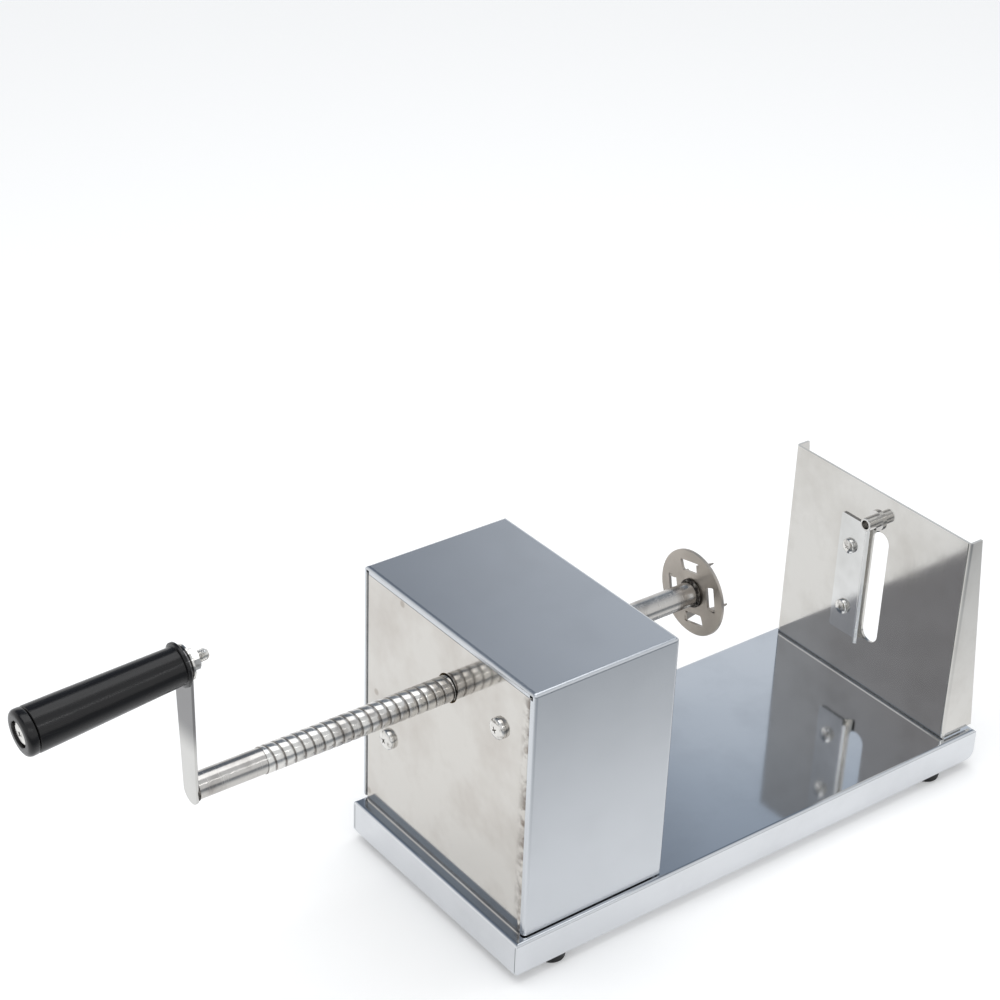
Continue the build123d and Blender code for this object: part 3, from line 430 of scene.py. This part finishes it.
def feed_shaft():
    """Bright bar whose middle carries a helical groove with flat lands, and plain rod on both sides; its fork
    end has a spigot with the mouth of the skewer socket."""
    lead = 3 * THREAD_PITCH
    bpy.ops.object.select_all(action="DESELECT")
    bpy.ops.mesh.primitive_plane_add(size=MM)
    thread = bpy.context.object
    bpy.ops.object.mode_set(mode="EDIT")
    bpy.ops.mesh.select_mode(type="VERT")
    bpy.ops.mesh.select_all(action="SELECT")
    bpy.ops.mesh.merge(type="CENTER")
    bpy.ops.transform.translate(value=((GROOVE_PLACE - lead) * MM, 0, GROOVE_FLOOR * MM))
    far_side = [(THREAD_PITCH - side_along, side_out) for side_along, side_out in reversed(GROOVE_SIDE)]
    outline = [*GROOVE_SIDE, *far_side, (THREAD_PITCH, GROOVE_FLOOR)]
    along, out = 0.0, GROOVE_FLOOR
    for next_along, next_out in outline:
        bpy.ops.mesh.extrude_region_move(TRANSFORM_OT_translate={
            "value": ((next_along - along) * MM, 0, (next_out - out) * MM), "orient_type": "GLOBAL"})
        along, out = next_along, next_out
    bpy.ops.object.mode_set(mode="OBJECT")
    bpy.ops.object.modifier_add(type="SCREW")
    screw = thread.modifiers[-1]
    screw.axis, screw.angle, screw.screw_offset = "X", math.tau, THREAD_PITCH * MM
    screw.iterations = math.ceil((THREAD_END - THREAD_START + 2 * lead) / THREAD_PITCH) + 1
    screw.steps = screw.render_steps = STEPS_PER_TURN
    bpy.ops.object.modifier_apply(modifier=screw.name)
    bpy.ops.object.mode_set(mode="EDIT")
    bpy.ops.mesh.select_all(action="SELECT")
    bpy.ops.mesh.remove_doubles(threshold=0.005 * MM)
    for end, outer in ((THREAD_START, False), (THREAD_END, True)):
        bpy.ops.mesh.select_all(action="SELECT")
        bpy.ops.mesh.bisect(plane_co=(end * MM, 0, 0), plane_no=(1, 0, 0), use_fill=True, clear_outer=outer,
                            clear_inner=not outer)
    bpy.ops.mesh.select_all(action="SELECT")
    bpy.ops.mesh.normals_make_consistent(inside=False)
    bpy.ops.transform.translate(value=(0, 0, SHAFT_Z * MM))
    bpy.ops.object.mode_set(mode="OBJECT")
    thread.name = "feed_shaft_threaded"

    crank_rod = turned("crank_rod", ((SHAFT_START, SHAFT_RADIUS), (THREAD_START - ROD_TAPER, SHAFT_RADIUS),
                                     (THREAD_START, GROOVE_FLOOR), (THREAD_START + ROD_TAPER, ROD_SHOULDER)))
    put(crank_rod, (0, 0, SHAFT_Z), (1, 0, 0))
    alone(crank_rod)
    bpy.ops.object.mode_set(mode="EDIT")
    bpy.ops.mesh.select_all(action="SELECT")
    inner_face = (ARM_FOOT + ARM_THROUGH * ARM_THICKNESS) * MM
    bpy.ops.mesh.bisect(plane_co=inner_face, plane_no=ARM_THROUGH, use_fill=True, clear_inner=True)
    bpy.ops.object.mode_set(mode="OBJECT")
    fork_rod = turned("fork_rod", ((THREAD_END - ROD_TAPER, ROD_SHOULDER), (THREAD_END, ROD_SHOULDER),
                                   (THREAD_END + ROD_TAPER, SHAFT_RADIUS), (FORK_BACK - 0.6, SHAFT_RADIUS),
                                   (FORK_BACK, SHAFT_RADIUS - 0.5), (FORK_BACK, SPIGOT_RADIUS),
                                   (FORK_FRONT - 0.2, SPIGOT_RADIUS), (FORK_FRONT, SPIGOT_RADIUS - 0.2),
                                   (FORK_FRONT, SOCKET_RADIUS + 0.1), (FORK_FRONT - SOCKET_SHOWN, SOCKET_RADIUS),
                                   (FORK_FRONT - SOCKET_SHOWN - 1, 0.4)))
    put(fork_rod, (0, 0, SHAFT_Z), (1, 0, 0))
    for part, finish in ((thread, finishes["feed_shaft"]), (crank_rod, plain_bar), (fork_rod, plain_bar)):
        part.data.materials.clear()
        part.data.materials.append(finish)
    return settle(joined(thread, crank_rod, fork_rod), None, "shaft", "feed_shaft")


feed_shaft()

# ---------------------------------------------------------------- fork disc and the weld that holds it

FORK_BORE = 5.1
FORK_EDGE = 0.35
WINDOW_COUNT = 4
WINDOW_TURN = 12.0
WINDOW_INNER, WINDOW_OUTER = 12.2, 18.6
WINDOW_MIDDLE = (WINDOW_OUTER + WINDOW_INNER) / 2
WINDOW_DEPTH = WINDOW_OUTER - WINDOW_INNER
WINDOW_INNER_WIDTH, WINDOW_OUTER_WIDTH = 12.6, 15.2
WINDOW_SIDE = -(WINDOW_INNER_WIDTH + WINDOW_OUTER_WIDTH) / 4
PRONG_LENGTH, PRONG_THICKNESS = 10.0, 1.4
PRONG_TIP = (0.7, 0.12, 1)


def fork_disc():
    """Satin disc with four windows; the tab of each is bent forward as a pointed prong."""
    thickness = FORK_FRONT - FORK_BACK
    flat_radius = FORK_RADIUS - FORK_EDGE
    disc = turned("fork_disc_pressed", ((0, FORK_BORE), (0, flat_radius), (FORK_EDGE, FORK_RADIUS),
                                        (thickness - FORK_EDGE, FORK_RADIUS), (thickness, flat_radius),
                                        (thickness, FORK_BORE), (0, FORK_BORE)), segments=96, hollow=True)
    prongs = []
    for number in range(WINDOW_COUNT):
        around = Matrix.Rotation(-math.radians(WINDOW_TURN + 90 * number), 4, "Z")
        cutter = bar("window", (WINDOW_OUTER_WIDTH, WINDOW_DEPTH, 3 * thickness),
                     (0, WINDOW_MIDDLE, thickness / 2))
        alone(cutter)
        bpy.ops.object.mode_set(mode="EDIT")
        bpy.ops.mesh.select_mode(type="VERT")
        bpy.ops.mesh.select_all(action="DESELECT")
        bpy.ops.object.mode_set(mode="OBJECT")
        for corner in cutter.data.vertices:
            corner.select = corner.co.y < WINDOW_MIDDLE * MM
        bpy.ops.object.mode_set(mode="EDIT")
        bpy.ops.transform.resize(value=(WINDOW_INNER_WIDTH / WINDOW_OUTER_WIDTH, 1, 1),
                                 center_override=(0, 0, 0))
        bpy.ops.object.mode_set(mode="OBJECT")
        soften(cutter, 1.0, 3, 60)
        cutter.rotation_euler = around.to_euler()
        alone(cutter)
        bpy.ops.object.transform_apply(location=True, rotation=True, scale=True)
        carve(disc, cutter)
        tab = bar("tab", (PRONG_THICKNESS, WINDOW_DEPTH - 2, thickness + PRONG_LENGTH),
                  (WINDOW_SIDE + PRONG_THICKNESS / 2 + 0.1, WINDOW_MIDDLE, (thickness + PRONG_LENGTH) / 2))
        alone(tab)
        bpy.ops.object.mode_set(mode="EDIT")
        bpy.ops.mesh.select_all(action="DESELECT")
        bpy.ops.object.mode_set(mode="OBJECT")
        for corner in tab.data.vertices:
            corner.select = corner.co.z > thickness * MM
        bpy.ops.object.mode_set(mode="EDIT")
        tip = Vector((WINDOW_SIDE + 0.8, WINDOW_MIDDLE, thickness + PRONG_LENGTH)) * MM
        bpy.ops.transform.resize(value=PRONG_TIP, center_override=tip)
        bpy.ops.object.mode_set(mode="OBJECT")
        soften(tab, 0.15, 1)
        tab.rotation_euler = around.to_euler()
        alone(tab)
        bpy.ops.object.transform_apply(location=True, rotation=True, scale=True)
        prongs.append(tab)
    made = joined(disc, *prongs)
    made.matrix_world = Matrix(((0, 0, 1, FORK_BACK * MM), (1, 0, 0, 0), (0, 1, 0, SHAFT_Z * MM),
                                (0, 0, 0, 1)))
    alone(made)
    bpy.ops.object.transform_apply(location=True, rotation=True, scale=True)
    return settle(made, finishes["fork_disc"], "shaft", "fork_disc")


def weld_bead(name, place, out, ring, thick, seed):
    """A hand-laid bead round the shaft, uneven along its run."""
    bpy.ops.object.select_all(action="DESELECT")
    bpy.ops.mesh.primitive_torus_add(major_radius=ring * MM, minor_radius=thick * MM, major_segments=72,
                                     minor_segments=12)
    bead = bpy.context.object
    bead.name = name
    bpy.ops.object.mode_set(mode="EDIT")
    bpy.ops.mesh.select_all(action="SELECT")
    bpy.ops.transform.vertex_random(offset=thick * 0.3 * MM, seed=seed)
    bpy.ops.mesh.vertices_smooth(factor=0.5, repeat=2)
    bpy.ops.object.mode_set(mode="OBJECT")
    return put(bead, place, out)


fork_disc()
fork_weld = weld_bead("fork_weld_bead", (FORK_BACK - 0.7, 0, SHAFT_Z), (1, 0, 0), ring=SHAFT_RADIUS + 0.6,
                      thick=1.1, seed=3)
crank_weld = weld_bead("crank_weld_bead", ARM_FOOT + ARM_THROUGH * (ARM_THICKNESS + 0.3), ARM_THROUGH,
                       ring=SHAFT_RADIUS + 0.1, thick=0.55, seed=8)
settle(joined(fork_weld, crank_weld), finishes["shaft_welds"], "shaft", "shaft_welds")

# ---------------------------------------------------------------- grip, end cap and its bolt


def rounded(height, radius, edge, steps=5):
    """Stations of a quarter round from an end face at a height out to a rim's side."""
    turns = [math.pi / 2 * i / steps for i in range(steps + 1)]
    return [(height + edge - edge * math.cos(t), radius - edge + edge * math.sin(t)) for t in turns]


# stations are heights and radii in mm from the arm's outer face; the plug end comes first, the flange last
grip_outline = [(-77.6, 7.8), (-77.6, 8.0), (-76.7, 8.0), (-76.7, 10.8), (-76.3, 11.3), (-75.8, 11.4),
                (-60, 11.07), (-40, 10.5), (-20, 9.98), (-5, 9.57), (-3.2, 9.5), (-2.5, 9.7), (-2.3, 10.4),
                (-2.2, 10.9), (-1.9, 11.2), (-0.8, 11.2), (-0.4, 10.9), (-0.3, 10.5), (-0.3, 3.7)]
grip = put(turned("grip_moulding", grip_outline), GRIP_HUB, ARM_THROUGH)
settle(grip, finishes["grip"], "grip", "grip")

cap_outline = [(-78.3, 3.7), (-78.3, 6.5), (-82.0, 6.5), (-82.3, 6.9), *rounded(-82.3, 11.4, 2.4),
               (-77.6, 11.35), (-77.2, 11.1), (-77.0, 10.6), (-76.9, 8.1)]
cap = put(turned("grip_end_moulding", cap_outline), GRIP_HUB, ARM_THROUGH)
settle(cap, finishes["grip_end_cap"], "grip", "grip_end_cap")


CROSS_TAPER = 0.55
THREAD_ROOT = 0.86


def cross_cutter(reach, width, depth, height):
    """Tapered cross that cuts a driver recess."""
    blades = []
    for size in ((2 * reach, width), (width, 2 * reach)):
        blade = bar("cross", size + (2 * depth,), (0, 0, height))
        alone(blade)
        for corner in blade.data.vertices:
            corner.select = corner.co.z < height * MM
        bpy.ops.object.mode_set(mode="EDIT")
        bpy.ops.transform.resize(value=(CROSS_TAPER, CROSS_TAPER, 1), center_override=(0, 0, 0))
        bpy.ops.object.mode_set(mode="OBJECT")
        blades.append(blade)
    return carve(blades[0], blades[1], "UNION")


def stud(length, radius, pitch=0.8):
    """Stations of a threaded shank from its tip up to the seat at height 0."""
    rows = [(-length, radius * 0.5), (-length + 0.6, radius * THREAD_ROOT)]
    for turn_number in range(int((length - 1.2) / pitch)):
        low = -length + 0.8 + turn_number * pitch
        rows += [(low, radius * THREAD_ROOT), (low + pitch / 2, radius)]
    return rows + [(-0.2, radius * 0.9), (0, radius * 0.9)]


def pan_screw(radius, head_radius, head_height, length):
    """Cross-recessed pan-head screw along +Z, its seat at height 0."""
    dome = [(head_height * 0.42 + head_height * 0.58 * math.sin(t), head_radius * math.cos(t) ** 0.8)
            for t in (0.15, 0.4, 0.65, 0.9, 1.15, 1.35)]
    rows = stud(length, radius) + [(0, head_radius * 0.94), (0.12, head_radius)] + dome
    screw = turned("screw", rows, segments=40)
    return carve(screw, cross_cutter(head_radius * 0.55, head_radius * 0.22, head_height * 0.5, head_height))


def hex_nut(radius, flats, height):
    """Hexagon nut along +Z with turned corners and a bored middle."""
    corner = flats / 2 / math.cos(math.pi / 6)
    blank = turned("nut", ((0, corner), (height, corner)), segments=6)
    turned_off = turned("lathe_cut", ((-0.01, flats / 2 * 0.96), (height * 0.18, corner * 1.02),
                                      (height * 0.82, corner * 1.02), (height + 0.01, flats / 2 * 0.96)))
    carve(blank, turned_off, "INTERSECT")
    bore = turned("bore", ((-1, radius * 1.12), (0.35, radius), (height - 0.35, radius),
                           (height + 1, radius * 1.3)), segments=40)
    return carve(blank, bore)


BOLT_HEAD_TOP = -81.6
SHOULDER_RADIUS = 3.5
SHOULDER_END = 1.5
STUD_RADIUS, STUD_ROOT = 3.0, 2.62
STUD_HALF_PITCH = 0.5
WASHER_THICKNESS = 1.2
NUT_SEAT = ARM_THICKNESS + WASHER_THICKNESS

bolt = turned("grip_bolt_turned", [(-78.6, 5.9), (-78.9, 6.2), (-80.2, 6.2), (-80.9, 5.9), (-81.35, 5.2),
                                   (BOLT_HEAD_TOP, 4.0)], segments=48)
recess = cross_cutter(reach=3.0, width=1.3, depth=1.4, height=0)
alone(recess)
recess.rotation_euler = (math.pi, 0, math.radians(20))
recess.location = (0, 0, BOLT_HEAD_TOP * MM)
bpy.ops.object.transform_apply(location=True, rotation=True, scale=True)
carve(bolt, recess)
stud_rows = [(2.0 + STUD_HALF_PITCH * i, STUD_RADIUS if i % 2 else STUD_ROOT) for i in range(20)]
shank = turned("shank", [(-78.7, SHOULDER_RADIUS), (SHOULDER_END, SHOULDER_RADIUS), (SHOULDER_END, STUD_RADIUS),
                         *stud_rows, (12.2, 2.9), (13.5, 1.9)], segments=32)
settle(put(joined(bolt, shank), GRIP_HUB, ARM_THROUGH), plated, "shaft", "grip_bolt")

washer = turned("grip_washer_pressed", ((1.5, 3.1), (1.5, 8.8), (1.7, 9.0), (2.5, 9.0), (2.7, 8.8), (2.7, 3.1),
                                        (1.5, 3.1)), hollow=True)
settle(put(washer, GRIP_HUB, ARM_THROUGH), plated, "shaft", "grip_washer")
nut = put(hex_nut(STUD_RADIUS, flats=10.0, height=5.0), GRIP_HUB + ARM_THROUGH * NUT_SEAT, ARM_THROUGH)
nut.name = "grip_nut_turned"
settle(nut, plated, "shaft", "grip_nut")

# ---------------------------------------------------------------- screws that show, and the feet

# places are (y, z), with the turn of the cross recess in radians; a screw's sizes are its radius, its head's
# radius and height, and its length under the head
PANEL_SCREWS = ((-44.3, 141.0, 0.5), (52.0, 77.8, 1.1))
BLADE_SCREWS = ((17.7, 72.5, 0.3), (17.7, 114.5, 0.9))
BLADE_SHEET = 1.2
COVER_SCREWS = (-156.4, -77.1)
COVER_FACE, COVER_SCREW_Z = 75.0, 158.5
M6_PAN = (3.0, 5.85, 3.6, 10.0)
M5_PAN = (2.5, 4.7, 2.9, 7.9)
M4_PAN = (2.0, 4.0, 2.5, 7.0)
FOOT_PLACES = [(x, y) for x in (-140.0, 140.0) for y in (-66.0, 66.0)]


def set_of(master, stem, places, body, node, finish):
    """Copies of one piece at several places, each with its own mesh; the master is used up."""
    for number, (place, out, roll) in enumerate(places, 1):
        copied = put(copy_of(master, f"{stem}_{number}"), place, out, roll)
        settle(copied, finish, body, node)
    bpy.data.objects.remove(master)


set_of(pan_screw(*M6_PAN), "panel_screw",
       [((PANEL_FACE, y, z), (-1, 0, 0), roll) for y, z, roll in PANEL_SCREWS],
       "frame", "panel_screws", plated)
set_of(pan_screw(*M5_PAN), "blade_screw",
       [((PLATE_FACE - BLADE_SHEET, y, z), (-1, 0, 0), roll) for y, z, roll in BLADE_SCREWS],
       "frame", "blade_screws", plated)
set_of(pan_screw(*M4_PAN), "cover_screw",
       [((x, COVER_FACE, COVER_SCREW_Z), (0, 1, 0), 0.4) for x in COVER_SCREWS],
       "frame", "cover_screws", plated)

foot_rows = [(6.0, 8.5), (5.3, 8.5), (4.6, 8.35), (0.9, 7.75), (0.3, 7.5), (0.0, 7.0), (0.0, 4.6), (0.3, 4.4),
             (3.5, 4.4)]
set_of(turned("foot", foot_rows, segments=48), "rubber_foot",
       [((x, y, 0), (0, 0, 1), 0) for x, y in FOOT_PLACES], "frame", "rubber_feet", finishes["rubber_feet"])

# ---------------------------------------------------------------- studio

FLOOR_SPAN = 6.0
FLOOR_DROP = 0.0002
FLOOR_LIFT = 0.2
SKY_TONES = ((0.3, "#f6f8fa"), (0.5, "#e6ebf1"), (0.556, "#d4dbe4"), (0.588, "#adb8c5"), (0.62, "#96a1af"),
             (0.7, "#7a8593"))


def pale_floor():
    """White table under the object: plain white to the camera; in the steel its near side greys with
    distance."""
    bpy.ops.object.select_all(action="DESELECT")
    bpy.ops.mesh.primitive_plane_add(size=FLOOR_SPAN, location=(0, 0, -FLOOR_DROP))
    floor = bpy.context.object
    floor.name = "studio_floor"
    made, tree, shader, where = surface("white_studio_floor", "#f6f6f6", 0.0, 0.9)
    near = add(tree, "ShaderNodeSeparateXYZ", Vector=where).outputs["Y"]
    away = add(tree, "ShaderNodeMapRange", Value=near, From_Min=-0.10, From_Max=-0.36).outputs[0]
    path = add(tree, "ShaderNodeLightPath")
    mirrored = path.outputs["Is Glossy Ray"]
    share = add(tree, "ShaderNodeMath", {"operation": "MULTIPLY"}, i0=away, i1=mirrored).outputs[0]
    tone = add(tree, "ShaderNodeMix", {"data_type": "RGBA"}, i0=share, i6=linear("#f6f6f6"),
               i7=linear("#8d9298")).outputs[2]
    tree.links.new(tone, shader.inputs["Base Color"])
    close = add(tree, "ShaderNodeMath", {"operation": "SUBTRACT"}, i0=mirrored, i1=share).outputs[0]
    white = add(tree, "ShaderNodeMath", {"operation": "MAXIMUM"}, i0=path.outputs["Is Camera Ray"],
                i1=close).outputs[0]
    lift = add(tree, "ShaderNodeMath", {"operation": "MULTIPLY"}, i0=white, i1=FLOOR_LIFT).outputs[0]
    shader.inputs["Emission Color"].default_value = linear("#ffffff")
    tree.links.new(lift, shader.inputs["Emission Strength"])
    floor.data.materials.append(made)


def sky():
    """Studio surround: white for the camera and an even pale grey for soft light; the steel sees a white
    horizon that turns blue-grey overhead, pale in front, grey behind on the crank side and blue-grey behind the
    middle."""
    world = bpy.data.worlds.new("studio_surround")
    bpy.context.scene.world = world
    world.use_nodes = True
    tree = world.node_tree
    tree.nodes.clear()
    direction = add(tree, "ShaderNodeTexCoord").outputs["Generated"]
    axes = add(tree, "ShaderNodeSeparateXYZ", Vector=direction)
    tones = add(tree, "ShaderNodeValToRGB", Fac=axes.outputs["Z"])
    stops = tones.color_ramp.elements
    stops[0].position, stops[0].color = 0.0, linear("#ffffff")
    stops[1].position, stops[1].color = 1.0, linear("#6a727d")
    for place, colour in SKY_TONES:
        stop = stops.new(place)
        stop.color = linear(colour)
    frontward = add(tree, "ShaderNodeMapRange", Value=axes.outputs["Y"], From_Min=0.0, From_Max=-0.35,
                    To_Max=0.8).outputs[0]
    seen_in_steel = add(tree, "ShaderNodeMix", {"data_type": "RGBA"}, i0=frontward, i6=tones.outputs["Color"],
                        i7=linear("#f0f2f4")).outputs[2]
    leftward = add(tree, "ShaderNodeMapRange", Value=axes.outputs["X"], From_Min=-0.55,
                   From_Max=-0.64).outputs[0]
    backward = add(tree, "ShaderNodeMapRange", Value=axes.outputs["Y"], From_Min=0.1, From_Max=0.5).outputs[0]
    upward = add(tree, "ShaderNodeMapRange", Value=axes.outputs["Z"], From_Min=0.3, From_Max=0.45).outputs[0]
    both = add(tree, "ShaderNodeMath", {"operation": "MULTIPLY"}, i0=leftward, i1=backward).outputs[0]
    shade = add(tree, "ShaderNodeMath", {"operation": "MULTIPLY"}, i0=both, i1=upward).outputs[0]
    seen_in_steel = add(tree, "ShaderNodeMix", {"data_type": "RGBA"}, i0=shade, i6=seen_in_steel,
                        i7=linear("#a5a4a7")).outputs[2]
    behind = add(tree, "ShaderNodeMapRange", Value=axes.outputs["X"], From_Min=0.565,
                 From_Max=0.48).outputs[0]
    raised = add(tree, "ShaderNodeMapRange", Value=axes.outputs["Z"], From_Min=0.22, From_Max=0.38).outputs[0]
    bank = add(tree, "ShaderNodeMath", {"operation": "MULTIPLY"}, i0=behind, i1=backward).outputs[0]
    bank = add(tree, "ShaderNodeMath", {"operation": "MULTIPLY"}, i0=bank, i1=raised).outputs[0]
    not_left = add(tree, "ShaderNodeMapRange", Value=axes.outputs["X"], From_Min=-0.4,
                   From_Max=-0.3).outputs[0]
    bank = add(tree, "ShaderNodeMath", {"operation": "MULTIPLY"}, i0=bank, i1=not_left).outputs[0]
    seen_in_steel = add(tree, "ShaderNodeMix", {"data_type": "RGBA"}, i0=bank, i6=seen_in_steel,
                        i7=linear("#6f7885")).outputs[2]
    path = add(tree, "ShaderNodeLightPath")
    plain = add(tree, "ShaderNodeMix", {"data_type": "RGBA"}, i0=path.outputs["Is Glossy Ray"],
                i6=linear("#d9dbdd"), i7=seen_in_steel).outputs[2]
    mixed = add(tree, "ShaderNodeMix", {"data_type": "RGBA"}, i0=path.outputs["Is Camera Ray"], i6=plain,
                i7=(1, 1, 1, 1)).outputs[2]
    glow = add(tree, "ShaderNodeBackground", Color=mixed, Strength=1.0)
    add(tree, "ShaderNodeOutputWorld", Surface=glow.outputs[0])


def softbox(name, place, aim, size, power):
    """A rectangular lamp at a place in metres, aimed at a point."""
    data = bpy.data.lights.new(name, "AREA")
    data.shape = "RECTANGLE"
    data.size, data.size_y = size
    data.energy = power
    lamp = bpy.data.objects.new(name, data)
    bpy.context.scene.collection.objects.link(lamp)
    lamp.location = place
    lamp.rotation_euler = (Vector(aim) - Vector(place)).to_track_quat("-Z", "Y").to_euler()


pale_floor()
sky()
softbox("overhead_softbox", place=(-0.1, 0.1, 1.3), aim=(-0.1, 0, 0.1), size=(1.6, 0.8), power=6.5)
softbox("front_strip", place=(-0.3, -1.15, 1.05), aim=(-0.15, 0, 0.15), size=(1.6, 0.04), power=1.2)

# ---------------------------------------------------------------- camera, fitted to the box edges

CAMERA_PLACE = (-0.75736, -0.80054, 0.81686)
CAMERA_AZIMUTH = -37.937
CAMERA_ELEVATION = 29.561
CAMERA_ROLL = 2.119
FOCAL_PIXELS = 2352.43
IMAGE_PIXELS = 1000
SENSOR_MM = 36.0

camera_data = bpy.data.cameras.new("photo_camera")
camera = bpy.data.objects.new("photo_camera", camera_data)
bpy.context.scene.collection.objects.link(camera)
camera_data.sensor_width = SENSOR_MM
camera_data.lens = FOCAL_PIXELS * SENSOR_MM / IMAGE_PIXELS
camera_data.clip_start = 0.05
turn = (Matrix.Rotation(math.radians(CAMERA_AZIMUTH), 4, "Z")
        @ Matrix.Rotation(math.radians(90 - CAMERA_ELEVATION), 4, "X")
        @ Matrix.Rotation(math.radians(CAMERA_ROLL), 4, "Z"))
camera.matrix_world = Matrix.Translation(CAMERA_PLACE) @ turn
bpy.context.scene.camera = camera
bpy.context.scene.view_settings.view_transform = "Standard"
